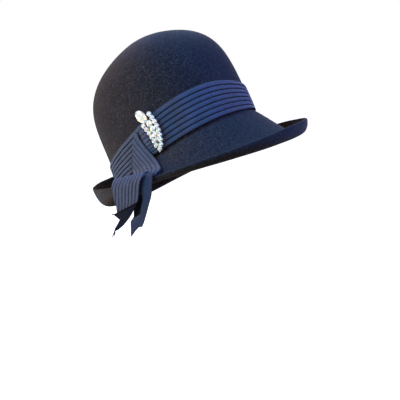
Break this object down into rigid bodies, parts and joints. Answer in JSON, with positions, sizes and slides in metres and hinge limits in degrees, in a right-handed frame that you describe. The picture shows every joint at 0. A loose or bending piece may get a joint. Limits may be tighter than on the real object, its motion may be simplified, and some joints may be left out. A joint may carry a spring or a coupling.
{
  "type": "cloche hat",
  "caption": "Felt cloche hat with a high round crown, rolled brim, pleated ribbon band, ribbon fan and hanging tails at the side, and a stone-set brooch.",
  "frame": {"origin": "centre of the head opening, on the line where crown meets brim, where a head holds the hat", "axes": "+Z plumb up as worn, -Y the wearer's front, +X the wearer's left; the rim is tipped back 21.7 degrees and the head opening 37.2 degrees about X"},
  "size_m": [0.2735, 0.2716, 0.2316],
  "materials": {
    "felt": "matt wool felt with a short nap",
    "ribbon": "grosgrain with a soft sheen",
    "silver": "polished",
    "crystal": "clear cut stones with silvered backs"
  },
  "bodies": {
    "root": {"felt_body": "felt", "hat_band": "ribbon", "ribbon_wrap": "ribbon", "ribbon_fan": "ribbon", "tail_pleated": "ribbon", "tail_plain": "ribbon", "brooch_setting": "silver", "brooch_pin": "silver", "stone_oval": "crystal", "stone_outer_1": "crystal", "stone_outer_2": "crystal", "stone_outer_3": "crystal", "stone_outer_4": "crystal", "stone_outer_5": "crystal", "stone_outer_6": "crystal", "stone_outer_7": "crystal", "stone_outer_8": "crystal", "stone_inner_1": "crystal", "stone_inner_2": "crystal", "stone_inner_3": "crystal", "stone_inner_4": "crystal", "stone_inner_5": "crystal", "stone_inner_6": "crystal", "stone_middle_1": "crystal", "stone_middle_2": "crystal", "stone_middle_3": "crystal", "stone_end": "crystal"}
  },
  "joints": []
}
